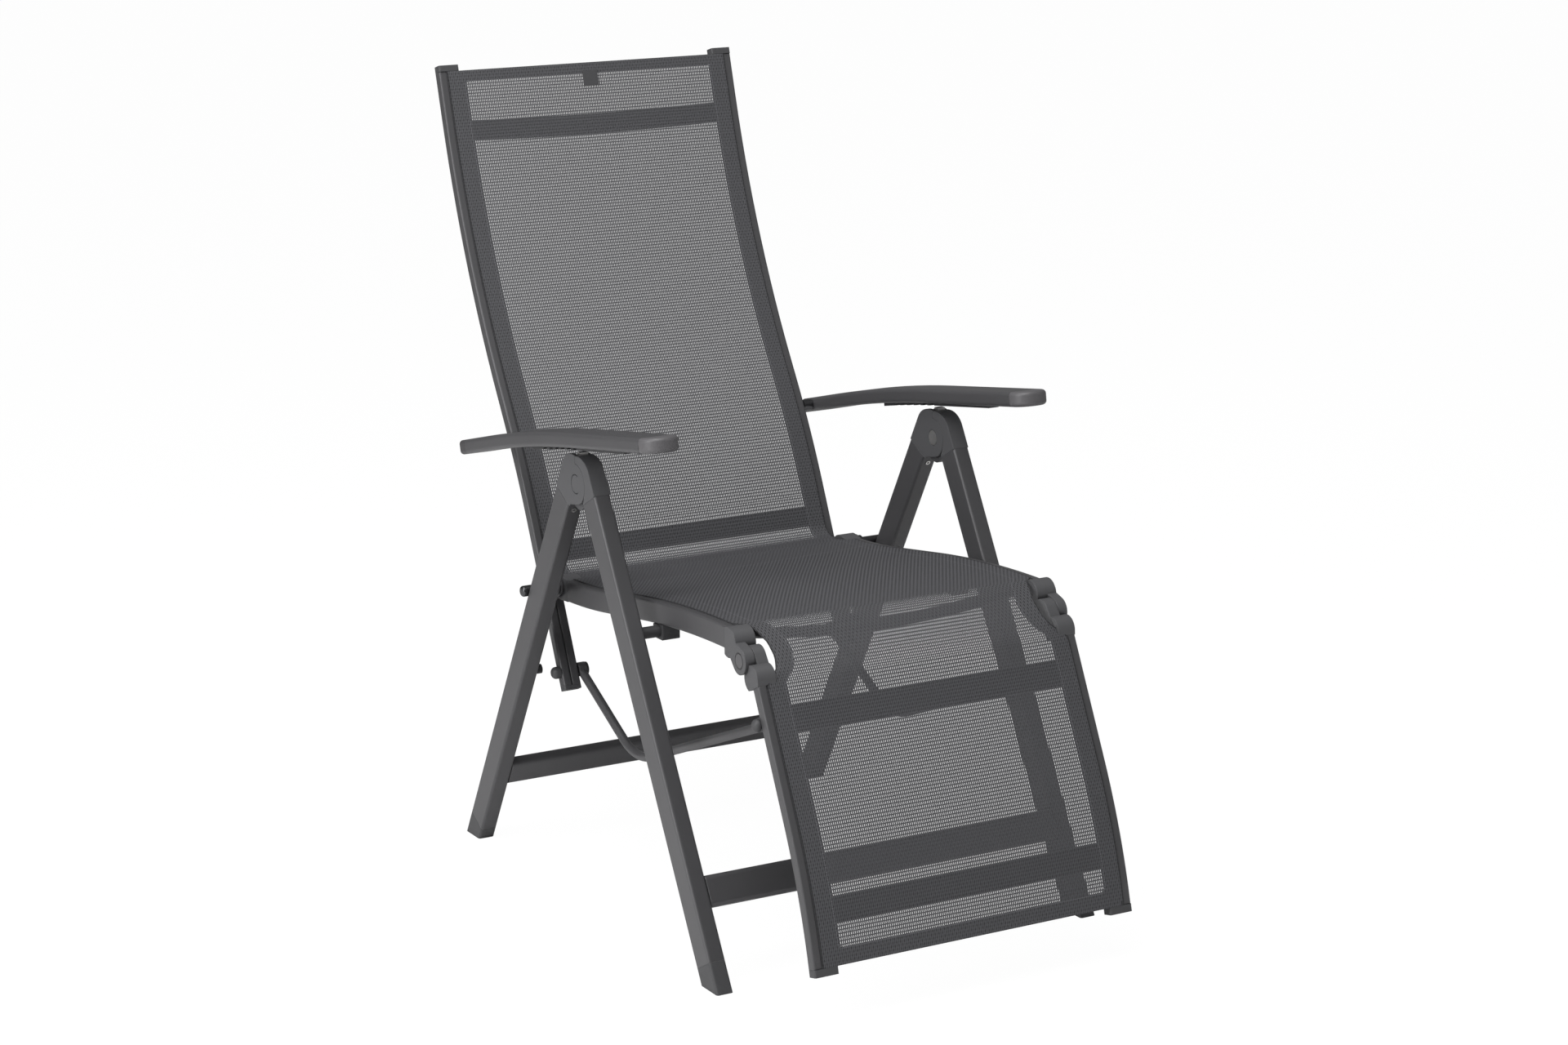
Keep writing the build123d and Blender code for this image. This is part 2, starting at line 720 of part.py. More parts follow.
# End bosses at the rear of the seat rails, bored for the recline bolts
with BuildPart() as seat_bosses:
    rail_end = section_plane(seat_line, 1)
    for name, side in sides:
        with BuildSketch(side_plane(side, seat_inner, seat_outer)):
            with Locations((boss.Y, boss.Z)):
                Circle(boss_radius)
            half_end = rail_end.y_dir * (seat_rail_depth / 2)
            end_corners = [rail_end.origin + half_end * way for way in (-1, 1)]
            with BuildLine():
                low = Line((end_corners[0].Y, end_corners[0].Z), (end_corners[1].Y, end_corners[1].Z))
                Line(low @ 1, (boss.Y, boss.Z))
                Line((boss.Y, boss.Z), low @ 0)
            make_face()
            make_hull()
        extrude(amount=seat_outer - seat_inner)
        add_disc(side, seat_inner - overrun, seat_outer + overrun, recline, bolt_radius, Mode.SUBTRACT)
save(seat_bosses.part, "seat_bosses")

# Recline bolts: through the boss and the hinge plate, with a long round end behind the rear leg
stop_end = frame_half_width + stop_past_leg
with BuildPart() as recline_bolts:
    for name, side in sides:
        add_disc(side, seat_inner, plate_outer + side_gap, recline, bolt_radius)
        add_disc(side, plate_outer + side_gap, stop_end, recline, stop_radius)
        add_disc(side, plate_outer + side_gap, plate_outer + side_gap + stop_nut, recline, stop_nut_radius)
        rims = recline_bolts.edges().filter_by(GeomType.CIRCLE).sort_by(Axis.X)
        fillet(rims[-1 if side > 0 else 0], stop_radius / 2)
save(recline_bolts.part, "recline_bolts")

# Knuckles: the seat's casting has the outer cheek, the leg rest's has the inner tongue
seat_nose_step = Vector(0, seat_nose_radius / 2, seat_nose_radius * seat_nose_drop_share)
seat_nose = Vector(0, seat_front.Y, seat_front.Z) - seat_nose_step
leg_nose = knuckle + (leg_top - knuckle) * (knuckle_radius * leg_nose_share / leg_rail_start)


def add_casting(side, line_end, depth, nose, radius, inner, outer):
    # Hull from a rail's end face to a round nose
    corners = [line_end.origin + line_end.y_dir * (depth / 2 * way) for way in (-1, 1)]
    with BuildSketch(side_plane(side, inner, outer)) as shape:
        with Locations((nose.Y, nose.Z)):
            Circle(radius)
        with BuildLine():
            edge = Line((corners[0].Y, corners[0].Z), (corners[1].Y, corners[1].Z))
            Line(edge @ 1, (nose.Y, nose.Z))
            Line((nose.Y, nose.Z), edge @ 0)
        make_face()
        make_hull()
    extrude(shape.sketch, amount=outer - inner)


def add_link(side, first, first_radius, second, second_radius, inner, outer):
    with BuildSketch(side_plane(side, inner, outer)) as shape:
        with Locations((first.Y, first.Z)):
            Circle(first_radius)
        with Locations((second.Y, second.Z)):
            Circle(second_radius)
        make_hull()
    extrude(shape.sketch, amount=outer - inner)


for name, side in sides:
    with BuildPart() as seat_knuckle:
        add_casting(side, section_plane(seat_line, 0), seat_rail_depth, seat_nose, seat_nose_radius,
                    seat_inner, knuckle_outer)
        sweep_layer(seat_set, 0, 1, -seat_rail_depth, seat_rail_depth, rail_inner - overrun,
                    knuckle_outer + overrun, side, Mode.SUBTRACT)
        add_disc(side, tongue_inner - overrun, cheek_inner, knuckle, knuckle_radius + seat_gap,
                 Mode.SUBTRACT)
        add_link(side, knuckle, knuckle_radius, seat_nose, knuckle_radius / 2, cheek_inner, knuckle_outer)
        add_disc(side, cheek_inner - overrun, knuckle_outer + overrun, knuckle, knuckle_pin_radius,
                 Mode.SUBTRACT)
        add_disc(side, knuckle_outer - knuckle_head, knuckle_outer + overrun, knuckle,
                 knuckle_head_radius + plug_gap, Mode.SUBTRACT)
    save(seat_knuckle.part, f"seat_knuckle_{name}")

    with BuildPart() as leg_knuckle:
        add_casting(side, section_plane(leg_line, 0), rail_depth, leg_nose, knuckle_radius, rail_inner,
                    rail_half_width)
        sweep_layer(leg_set, 0, 1, -seat_rail_depth, seat_rail_depth, rail_inner - overrun,
                    knuckle_outer + overrun, side, Mode.SUBTRACT)
        add_disc(side, cheek_inner - side_gap, knuckle_outer + overrun, knuckle, knuckle_radius + seat_gap,
                 Mode.SUBTRACT)
        add_link(side, knuckle, knuckle_radius, leg_nose, knuckle_radius / 2, tongue_inner, tongue_outer)
        add_disc(side, tongue_inner - overrun, tongue_outer + overrun, knuckle,
                 knuckle_pin_radius + running_gap, Mode.SUBTRACT)
    save(leg_knuckle.part, f"leg_knuckle_{name}")

with BuildPart() as knuckle_pins:
    for name, side in sides:
        add_disc(side, tongue_inner, knuckle_outer - knuckle_head, knuckle, knuckle_pin_radius)
        add_disc(side, knuckle_outer - knuckle_head, knuckle_outer, knuckle, knuckle_head_radius)
save(knuckle_pins.part, "knuckle_pins")


# Back

for name, side in sides:
    with BuildPart() as back_rail:
        make_rail(side, back_set, rail_half_width, rail_inner)
        drilled(side, rod_rear, rod_bolt_radius)
        drilled(side, armrest_pivot, armrest_bolt_radius)
    save(back_rail.part, f"back_rail_{name}")

with BuildPart() as back_welt_cords:
    for name, side in sides:
        make_welt(side, back_set)
        drilled(side, rod_rear, rod_bolt_radius + side_gap)
        drilled(side, armrest_pivot, armrest_bolt_radius + side_gap)
save(back_welt_cords.part, "back_welt_cords")

with BuildPart() as back_sling:
    make_sling(back_set, back_cloth_start_share, 1)
save(back_sling.part, "back_sling")

with BuildPart() as back_lower_bar:
    straight_bar(back_set, back_lower_share, back_bar_width, back_bar_depth, rail_inner, side_gap)
save(back_lower_bar.part, "back_lower_bar")

with BuildPart() as back_upper_bar:
    bowed_bar(back_set, back_upper_share, back_bar_width, back_bar_depth, back_bar_bow, rail_inner,
              side_gap)
save(back_upper_bar.part, "back_upper_bar")


def end_cap(line_set, share, outward, length, reach, front):
    # Cap over both rails' ends: reach goes inward past the rail, front stands proud of the rail
    line, depth, sitter = line_set
    plane = section_plane(line, share)
    along = plane.z_dir * outward
    for name, side in sides:
        centre = side * (rail_half_width + rail_inner - reach) / 2
        with BuildSketch(Plane(origin=plane.origin, x_dir=(1, 0, 0), z_dir=along)) as shape:
            with Locations((centre, outward * sitter * front / 2)):
                RectangleRounded(rail_width + reach, depth + front, rail_corner)
        extrude(shape.sketch, amount=length)


cloth_top = cloth_gap + cloth_thickness
with BuildPart() as back_end_caps:
    end_cap(back_set, 1, 1, back_cap_length, back_cap_reach, cloth_top)
    end_cap(back_set, 0, -1, foot_cap_length, 0, 0)
save(back_end_caps.part, "back_end_caps")

# Hinge plates on the outer faces of the back rails, reaching forward to the recline bolts
plate_root = rail_beside_recline
rivet_places = [plate_root + back_run * (plate_radius * way) for way in (-1, 1)]
with BuildPart() as hinge_plates:
    for name, side in sides:
        with BuildSketch(side_plane(side, rail_half_width, plate_outer)):
            with Locations((recline.Y, recline.Z)):
                Circle(plate_radius)
            for place in rivet_places:
                with Locations((place.Y, place.Z)):
                    Circle(rail_depth / 2)
            make_hull()
        extrude(amount=plate_thickness)
        add_disc(side, rail_half_width - overrun, plate_outer + overrun, recline,
                 bolt_radius + running_gap, Mode.SUBTRACT)
        for place in rivet_places:
            add_disc(side, plate_outer, plate_outer + rivet_head, place, rivet_radius)
save(hinge_plates.part, "hinge_plates")

with BuildPart() as armrest_bolts:
    for name, side in sides:
        wall_end = armrest_inside + armrest_wall
        add_disc(side, rail_inner - rivet_head, rail_inner, armrest_pivot, armrest_bolt_head)
        add_disc(side, rail_inner, wall_end + side_gap, armrest_pivot, armrest_bolt_radius)
        add_disc(side, wall_end + side_gap, wall_end + side_gap + rivet_head, armrest_pivot,
                 armrest_nut_radius)
        add_disc(side, rail_half_width, armrest_inside - side_gap, armrest_pivot,
                 armrest_bolt_head + side_gap)
save(armrest_bolts.part, "armrest_bolts")


def rod_bolt(side, point, inner, outer, knob):
    # Bolt with a washer at its inner end and a domed knob outside
    add_disc(side, inner, outer, point, rod_bolt_radius)
    add_disc(side, inner - rivet_head, inner, point, rod_eye_radius - side_gap)
    knob_plane = Plane(origin=Vector(side * outer, point.Y, point.Z), x_dir=(0, 1, 0), z_dir=(side, 0, 0))
    with BuildSketch(knob_plane) as shape:
        Circle(rod_knob_radius)
    extrude(shape.sketch, amount=knob)
    rims = edges().filter_by(GeomType.CIRCLE).sort_by(Axis.X)
    fillet(rims[-1 if side > 0 else 0], rod_knob * knob_round_share)


with BuildPart() as back_rod_bolts:
    for name, side in sides:
        rod_bolt(side, rod_rear, rod_inner - side_gap, rail_half_width, back_rod_knob)
save(back_rod_bolts.part, "back_rod_bolts")

with BuildPart() as sling_tab:
    tab_near = rail_depth / 2 + cloth_top
    tab_start = tab_share - tab_length / back_line.length
    sweep_layer(back_set, tab_start, tab_share, tab_near, tab_near + tab_thickness, 0, tab_width / 2)
save(sling_tab.part, "sling_tab")


# Leg rest

for name, side in sides:
    with BuildPart() as leg_rail:
        make_rail(side, leg_set, rail_half_width, rail_inner)
    save(leg_rail.part, f"leg_rail_{name}")

with BuildPart() as leg_welt_cords:
    for name, side in sides:
        make_welt(side, leg_set)
save(leg_welt_cords.part, "leg_welt_cords")

with BuildPart() as leg_sling:
    make_sling(leg_set, 0, 1)
save(leg_sling.part, "leg_sling")

bar_forward = rail_depth / 2 - leg_bar_thin / 2 - side_gap
with BuildPart() as leg_upper_bar:
    straight_bar(leg_set, leg_upper_share, leg_bar_tall, leg_bar_thin, rail_inner, -bar_forward)
save(leg_upper_bar.part, "leg_upper_bar")

with BuildPart() as leg_lower_bar:
    straight_bar(leg_set, leg_lower_share, leg_bar_tall, leg_bar_thin, rail_inner, -bar_forward)
save(leg_lower_bar.part, "leg_lower_bar")

with BuildPart() as leg_end_caps:
    end_cap(leg_set, 1, 1, leg_cap_length, leg_cap_reach, cloth_top)
save(leg_end_caps.part, "leg_end_caps")

# Lugs behind the leg rest's rails that carry the rods' front bolts
lug_root = section_plane(leg_line, rod_front_share)
with BuildPart() as rod_lugs:
    for name, side in sides:
        with BuildSketch(side_plane(side, rail_inner, rail_half_width)):
            with Locations((rod_front.Y, rod_front.Z)):
                Circle(lug_radius)
            lug_base = lug_root.origin - lug_root.y_dir * (rail_depth / 2)
            base = [lug_base + lug_root.z_dir * (lug_radius * way) for way in (-1, 1)]
            with BuildLine():
                edge = Line((base[0].Y, base[0].Z), (base[1].Y, base[1].Z))
                Line(edge @ 1, (rod_front.Y, rod_front.Z))
                Line((rod_front.Y, rod_front.Z), edge @ 0)
            make_face()
            make_hull()
        extrude(amount=rail_width)
        sweep_layer(leg_set, 0, 1, -rail_depth / 2, rail_depth, rail_inner - overrun,
                    rail_half_width + overrun, side, Mode.SUBTRACT)
        drilled(side, rod_front, rod_bolt_radius)
save(rod_lugs.part, "rod_lugs")

with BuildPart() as leg_rod_bolts:
    for name, side in sides:
        rod_bolt(side, rod_front, rod_inner - side_gap, rail_half_width, rod_knob)
save(leg_rod_bolts.part, "leg_rod_bolts")


# Link rods: round tube with flattened eyes, bent once under the seat

rear_run = rod_corner - rod_rear
front_run = rod_front - rod_corner
for name, side in sides:
    with BuildPart() as link_rod:
        along_x = Vector(side * rod_middle, 0, 0)
        rear_start = rod_rear + rear_run.normalized() * (rod_eye_radius * eye_reach_share)
        front_end = rod_front - front_run.normalized() * (rod_eye_radius * eye_reach_share)
        rod_points = [point + along_x for point in (rear_start, rod_corner, front_end)]
        with BuildLine() as rod_line:
            FilletPolyline(*rod_points, radius=rod_bend_radius)
        path = rod_line.wire()
        with BuildSketch(Plane(origin=path @ 0, x_dir=(1, 0, 0), z_dir=path % 0)):
            Circle(rod_radius)
        sweep(path=path)
        for point in (rod_rear, rod_front):
            add_disc(side, rod_inner, rod_outer, point, rod_eye_radius)
        add_disc(side, rod_inner - overrun, rod_outer + overrun, rod_rear, rod_bolt_radius + running_gap,
                 Mode.SUBTRACT)
        add_disc(side, rod_inner - overrun, rod_outer + overrun, rod_front, rod_bolt_radius + rod_eye_play,
                 Mode.SUBTRACT)
    save(link_rod.part, f"link_rod_{name}")


# Armrests: a curved hollow profile, capped at both ends, with a toothed plate underneath

armrest_run = Vector(0, -cos(radians(armrest_rise_angle)), sin(radians(armrest_rise_angle)))
armrest_start = armrest_pivot - armrest_run * armrest_tail
with BuildLine() as armrest_flat:
    heading = 180 - armrest_rise_angle
    rear_straight = PolarLine((armrest_start.Y, armrest_start.Z), armrest_rear_length, heading)
    armrest_arc = JernArc(rear_straight @ 1, rear_straight % 1, armrest_radius, armrest_bend)
    PolarLine(armrest_arc @ 1, armrest_front_length, heading + armrest_bend)
armrest_line = Plane.YZ * armrest_flat.wire()
armrest_middle = armrest_outside - armrest_width / 2
armrest_down = section_plane(armrest_line).y_dir
armrest_sign = 1 if armrest_down.Z < 0 else -1
plate_low = armrest_sign * (armrest_thickness / 2 + catch_plate_thickness)


def armrest_cap(side, share, length, corner):
    # Cap over one end of the profile, with round corners in plan and round edges
    end = section_plane(armrest_line, share)
    outward = end.z_dir if share else -end.z_dir
    origin = end.origin + Vector(side * armrest_middle, 0, 0) + end.y_dir * (armrest_thickness / 2)
    with BuildPart(mode=Mode.PRIVATE) as cap:
        with BuildSketch(Plane(origin=origin, x_dir=outward, z_dir=-end.y_dir)) as shape:
            with Locations((length / 2, 0)):
                Rectangle(length, armrest_width)
            fillet(shape.vertices().sort_by(Axis.X)[-2:], corner)
        extrude(shape.sketch, amount=armrest_thickness)
        levels = cap.faces().sort_by(Axis(tuple(origin), tuple(end.y_dir)))
        rims = levels[0].edges() + levels[-1].edges()
        fillet(rims.filter_by(lambda rim: (rim.center() - origin).dot(outward) > side_gap), armrest_cap_edge)
    return cap.part


for name, side in sides:
    with BuildPart() as armrest:
        with BuildSketch(section_plane(armrest_line)):
            with Locations((side * armrest_middle, 0)):
                RectangleRounded(armrest_width, armrest_thickness, armrest_corner)
                RectangleRounded(armrest_width - 2 * armrest_wall, armrest_thickness - 2 * armrest_wall,
                                 armrest_corner - armrest_wall, mode=Mode.SUBTRACT)
        sweep(path=armrest_line)
        add_disc(side, armrest_inside - overrun, armrest_inside + armrest_wall + overrun, armrest_pivot,
                 armrest_bolt_radius + running_gap, Mode.SUBTRACT)
    save(armrest.part, f"armrest_{name}")

    with BuildPart() as armrest_caps:
        add(armrest_cap(side, 1, armrest_front_cap, armrest_cap_corner))
        add(armrest_cap(side, 0, armrest_rear_cap, armrest_cap_rear_corner))
    save(armrest_caps.part, f"armrest_caps_{name}")

    # Plate under the armrest, with a row of notches that face the catch
    with BuildPart() as catch_plate:
        start_share = (armrest_pivot.Y - hub.Y - catch_plate_rear) / armrest_line.length
        plate_line = armrest_line.trim(start_share, start_share + catch_plate_length / armrest_line.length)
        plate_start = section_plane(plate_line)
        with BuildSketch(plate_start):
            plate_depth = armrest_sign * (armrest_thickness + catch_plate_thickness) / 2
            with Locations((side * armrest_middle, plate_depth)):
                Rectangle(catch_plate_width, catch_plate_thickness)
        sweep(path=plate_line)
        for step in range(notch_count):
            notch = section_plane(plate_line, (notch_start + step * notch_pitch) / plate_line.length)
            place = notch.origin + notch.y_dir * plate_low
            origin = place + Vector(side * armrest_middle - catch_plate_width, 0, 0)
            with BuildSketch(Plane(origin=origin, x_dir=notch.z_dir, z_dir=(1, 0, 0))):
                Rectangle(notch_width, 2 * notch_depth)
            extrude(amount=2 * catch_plate_width, mode=Mode.SUBTRACT)
    save(catch_plate.part, f"catch_plate_{name}")

# Places of the joints and the soles in the side view, for the record
joint_places = (("hub", hub), ("seat pivot", seat_pivot), ("recline", recline), ("knuckle", knuckle),
                ("rod rear", rod_rear), ("rod front", rod_front), ("armrest", armrest_pivot),
                ("front sole", leg_at_height(front_down, front_out, 0)),
                ("rear sole", leg_at_height(rear_down, rear_out, 0)))
for joint, place in joint_places:
    print(joint, round(place.Y, 2), round(place.Z, 2))
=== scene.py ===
import json
import math

import bmesh
import bpy
from mathutils import Matrix, Vector


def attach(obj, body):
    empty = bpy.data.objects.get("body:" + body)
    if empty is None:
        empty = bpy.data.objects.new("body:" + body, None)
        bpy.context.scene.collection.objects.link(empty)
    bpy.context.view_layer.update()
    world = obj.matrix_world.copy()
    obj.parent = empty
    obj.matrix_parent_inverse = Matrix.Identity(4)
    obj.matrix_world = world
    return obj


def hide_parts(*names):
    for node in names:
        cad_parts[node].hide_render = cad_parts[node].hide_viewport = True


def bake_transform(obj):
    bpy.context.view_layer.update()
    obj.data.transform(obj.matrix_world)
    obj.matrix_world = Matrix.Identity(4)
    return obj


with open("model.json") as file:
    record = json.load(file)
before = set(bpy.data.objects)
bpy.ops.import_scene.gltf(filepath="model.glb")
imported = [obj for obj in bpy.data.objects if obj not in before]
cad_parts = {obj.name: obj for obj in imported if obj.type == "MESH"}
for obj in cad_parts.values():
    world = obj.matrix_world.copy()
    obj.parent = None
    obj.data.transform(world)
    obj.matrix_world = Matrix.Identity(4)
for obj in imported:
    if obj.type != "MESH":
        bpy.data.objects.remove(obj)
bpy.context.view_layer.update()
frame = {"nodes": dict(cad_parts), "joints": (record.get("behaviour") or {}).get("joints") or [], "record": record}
nodes = frame["nodes"]
pivots = {joint["name"]: joint["pos_m"] for joint in frame["joints"]}
print("frame loaded:", len(nodes), "solid nodes")

# camera, floor and light

cameraLook = {
    "place": (-2.15495, -3.97532, 1.55194),
    "yaw": 28.766,  # degrees from +Y towards +X
    "pitch": 12.990,  # degrees down
    "roll": -0.968,
    "lens": 77.395,
    "farthest": 60,
}


def aimCamera(look):
    yaw, pitch, roll = (math.radians(look[key]) for key in ("yaw", "pitch", "roll"))
    forward = Vector((math.sin(yaw) * math.cos(pitch), math.cos(yaw) * math.cos(pitch), -math.sin(pitch)))
    right = Vector((math.cos(yaw), -math.sin(yaw), 0))
    up = right.cross(forward)
    turnedRight = math.cos(roll) * right + math.sin(roll) * up
    turnedUp = -math.sin(roll) * right + math.cos(roll) * up
    turn = Matrix((turnedRight, turnedUp, -forward)).transposed().to_4x4()
    camera = bpy.data.objects.new("photoCamera", bpy.data.cameras.new("photoCamera"))
    camera.matrix_world = Matrix.Translation(look["place"]) @ turn
    camera.data.lens = look["lens"]
    camera.data.clip_end = look["farthest"]
    bpy.context.collection.objects.link(camera)
    bpy.context.scene.camera = camera


aimCamera(cameraLook)


class Link:  # a node's output that adds Math nodes when it is used in a sum
    def __init__(self, finish, socket):
        self.finish = finish
        self.socket = socket

    def maths(self, operation, first, second=0.0):
        return self.finish.node("ShaderNodeMath", {"operation": operation}, {0: first, 1: second})

    def __add__(self, other):
        return self.maths("ADD", self, other)

    def __sub__(self, other):
        return self.maths("SUBTRACT", self, other)

    def __rsub__(self, other):
        return self.maths("SUBTRACT", other, self)

    def __mul__(self, other):
        return self.maths("MULTIPLY", self, other)

    def __truediv__(self, other):
        return self.maths("DIVIDE", self, other)

    def __mod__(self, other):
        return self.maths("FLOORED_MODULO", self, other)

    def __pow__(self, other):
        return self.maths("POWER", self, other)

    def __gt__(self, other):
        return self.maths("GREATER_THAN", self, other)

    def __lt__(self, other):
        return self.maths("LESS_THAN", self, other)

    def __abs__(self):
        return self.maths("ABSOLUTE", self)

    def wave(self):
        return self.maths("SINE", self)

    def most(self, other):
        return self.maths("MAXIMUM", self, other)

    __radd__ = __add__
    __rmul__ = __mul__


class Finish:  # a node tree and the one way to add a node to it
    def __init__(self, name, tree=None):
        if tree is None:
            self.material = bpy.data.materials.new(name)
            self.material.use_nodes = True
            tree = self.material.node_tree
        self.tree = tree
        tree.nodes.clear()

    def node(self, kind, settings=None, inputs=None, output=0):
        made = self.tree.nodes.new(kind)
        for key, value in (settings or {}).items():
            setattr(made, key, value)
        for key, value in (inputs or {}).items():
            if isinstance(value, Link):
                self.tree.links.new(value.socket, made.inputs[key])
            else:
                made.inputs[key].default_value = value
        return Link(self, made.outputs[output]) if len(made.outputs) else None

    def tinted(self, color, level):
        return self.node("ShaderNodeVectorMath", {"operation": "SCALE"}, {0: color, "Scale": level})

    def surface(self, inputs):
        shade = self.node("ShaderNodeBsdfPrincipled", None, inputs)
        self.node("ShaderNodeOutputMaterial", None, {"Surface": shade})
        return self.material


def meshObject(name, bm, material):
    mesh = bpy.data.meshes.new(name)
    bm.to_mesh(mesh)
    bm.free()
    piece = bpy.data.objects.new(name, mesh)
    piece.data.materials.append(material)
    bpy.context.collection.objects.link(piece)
    return piece


floorLook = {
    "size": 30,
    "color": (0.94, 0.94, 0.94, 1),  # lights the chair from below and takes its shadow
    "white": 1.035,  # what the camera sees over it
    "whiteShare": 0.94,  # the rest leaves a faint shadow
}


def makeFloor(look):
    finish = Finish("paleFloor")
    plain = finish.node("ShaderNodeBsdfDiffuse", None, {"Color": look["color"]})
    white = finish.node("ShaderNodeEmission", None, {"Strength": look["white"]})
    seen = finish.node("ShaderNodeLightPath", None, None, "Is Camera Ray")
    mixed = finish.node("ShaderNodeMixShader", None, {0: seen * look["whiteShare"], 1: plain, 2: white})
    finish.node("ShaderNodeOutputMaterial", None, {"Surface": mixed})
    bm = bmesh.new()
    bmesh.ops.create_grid(bm, x_segments=1, y_segments=1, size=look["size"])
    meshObject("paleFloor", bm, finish.material)


studioLook = {
    "color": (1, 1, 1, 1),
    "world": 0.2,  # light from all round
    "backdrop": 1.0,  # what is seen past the floor and through the cloth
    "lamps": [  # name, place, aim, size, power in watts
        ("topBox", (-0.9, -0.8, 3.6), (0, 0, 0.5), (2.6, 2.6), 96),
        ("leftBox", (-3.2, -0.6, 1.8), (0, 0, 0.6), (1.6, 2.4), 66),
        ("rightBox", (2.6, -2.4, 1.6), (0, 0, 0.6), (1.4, 2.2), 3),
    ],
}


def lightStudio(look):
    scene = bpy.context.scene
    scene.view_settings.view_transform = "Standard"
    world = scene.world or bpy.data.worlds.new("studio")
    scene.world = world
    world.use_nodes = True
    sky = Finish("studio", world.node_tree)
    path = "ShaderNodeLightPath"
    seen = sky.node(path, None, None, "Is Camera Ray") + sky.node(path, None, None, "Is Transmission Ray")
    dim = sky.node("ShaderNodeBackground", None, {"Color": look["color"], "Strength": look["world"]})
    bright = sky.node("ShaderNodeBackground", None, {"Color": look["color"], "Strength": look["backdrop"]})
    mixed = sky.node("ShaderNodeMixShader", None, {0: seen, 1: dim, 2: bright})
    sky.node("ShaderNodeOutputWorld", None, {"Surface": mixed})
    for name, place, aim, size, power in look["lamps"]:
        lamp = bpy.data.lights.new(name, "AREA")
        lamp.shape = "RECTANGLE"
        lamp.size, lamp.size_y = size
        lamp.energy = power
        holder = bpy.data.objects.new(name, lamp)
        turn = (Vector(aim) - Vector(place)).to_track_quat("-Z", "Y")
        holder.matrix_world = Matrix.Translation(place) @ turn.to_matrix().to_4x4()
        bpy.context.collection.objects.link(holder)


makeFloor(floorLook)
lightStudio(studioLook)
print("camera, floor and light are in place")

# finishes of the solid pieces

# painted shade in the seams and corners of the solid pieces
creaseShadeLook = {
    "samples": 6,
    "reach": 0.006,
    "deepest": 0.45,  # tone of the painted shade in a crease
    "gain": 0.6,  # and how much it rises in the open
}
metalLook = {
    "metallic": 0.35,
    "grain": (900.0, 3.0),  # scale and detail of the noise in the powder coat
    "cloud": (6.0, 2.0),  # and of the slow change in its tone
    "tone": 0.2,
    "gloss": 0.2,
    "edge": 0.0026,  # radius that the light sees on sharp edges
    "samples": 6,
    "bump": 0.08,
    "depth": 0.0002,
}
plasticLook = {"grain": (1400.0, 2.0), "tone": 0.16, "gloss": 0.1, "edge": 0.0016, "samples": 6,
               "bump": 0.12, "depth": 0.0002}
steelLook = {"metallic": 1.0, "grain": (400.0, 3.0), "tone": 0.2, "rough": 0.35, "gloss": 0.2}


def axis(finish, vector, name):
    return finish.node("ShaderNodeSeparateXYZ", None, {0: vector}, name)


def objectPlace(finish):
    return finish.node("ShaderNodeTexCoord", None, None, "Object")


def noise(finish, where, scale, detail):
    return finish.node("ShaderNodeTexNoise", None, {"Vector": where, "Scale": scale, "Detail": detail})


def varied(middle, amount, grain):
    # a value that a noise between 0 and 1 moves evenly about its middle
    return middle - amount / 2 + amount * grain


def creaseShade(finish):
    # painted shade: ambient occlusion darkens the colour in seams and corners
    near = finish.node("ShaderNodeAmbientOcclusion", {"samples": creaseShadeLook["samples"]},
                       {"Distance": creaseShadeLook["reach"]}, "AO")
    return creaseShadeLook["deepest"] + creaseShadeLook["gain"] * near


def softened(finish, grain, look):
    # rounded edges under a fine grain
    edge = finish.node("ShaderNodeBevel", {"samples": look["samples"]}, {"Radius": look["edge"]})
    return finish.node("ShaderNodeBump", None, {
        "Height": grain, "Strength": look["bump"], "Distance": look["depth"], "Normal": edge})


def coatedMetal(name, color, rough):
    finish = Finish(name)
    where = objectPlace(finish)
    grain = noise(finish, where, *metalLook["grain"])
    cloud = noise(finish, where, *metalLook["cloud"])
    # the tone takes painted shade in seams and corners
    tone = varied(1.0, metalLook["tone"], cloud) * creaseShade(finish)
    return finish.surface({
        "Base Color": finish.tinted(color, tone), "Metallic": metalLook["metallic"],
        "Roughness": varied(rough, metalLook["gloss"], grain), "Normal": softened(finish, grain, metalLook)})


def mouldedPlastic(name, color, rough, marks=None):
    finish = Finish(name)
    where = objectPlace(finish)
    grain = noise(finish, where, *plasticLook["grain"])
    # the tone takes painted shade in seams and corners
    tone = varied(1.0, plasticLook["tone"], grain) * creaseShade(finish)
    # marks multiply painted shade into the tone
    if marks:
        tone = tone * marks(axis(finish, where, "Y"), axis(finish, where, "Z"))
    return finish.surface({
        "Base Color": finish.tinted(color, tone), "Roughness": varied(rough, plasticLook["gloss"], grain),
        "Normal": softened(finish, grain, plasticLook)})


def platedSteel(name, color):
    finish = Finish(name)
    grain = noise(finish, objectPlace(finish), *steelLook["grain"])
    return finish.surface({
        "Base Color": finish.tinted(color, varied(1.0, steelLook["tone"], grain)),
        "Metallic": steelLook["metallic"],
        "Roughness": varied(steelLook["rough"], steelLook["gloss"], grain)})


knuckleLook = {"ring": 0.0090, "shade": 0.7}  # painted shade: the dark ring round the pin's head begins at this radius
armLook = {
    "tilt": 7.8,  # slope of the armrest's front end
    "seam": 0.0015,  # half width of the painted shade line at the seam behind the front cap
    "seamShade": 0.65,
    "rear": 0.30,  # the rear cap lies behind this y
    "rearShade": 0.5,
}


# painted shade: the pin's plastic is darker outside the ring round its head
def pinRingShade(y, z):
    centreY, centreZ = pivots["legrest_lift"][1:]
    away = ((y - centreY) ** 2.0 + (z - centreZ) ** 2.0) ** 0.5
    return 1.0 - knuckleLook["shade"] * (away > knuckleLook["ring"])
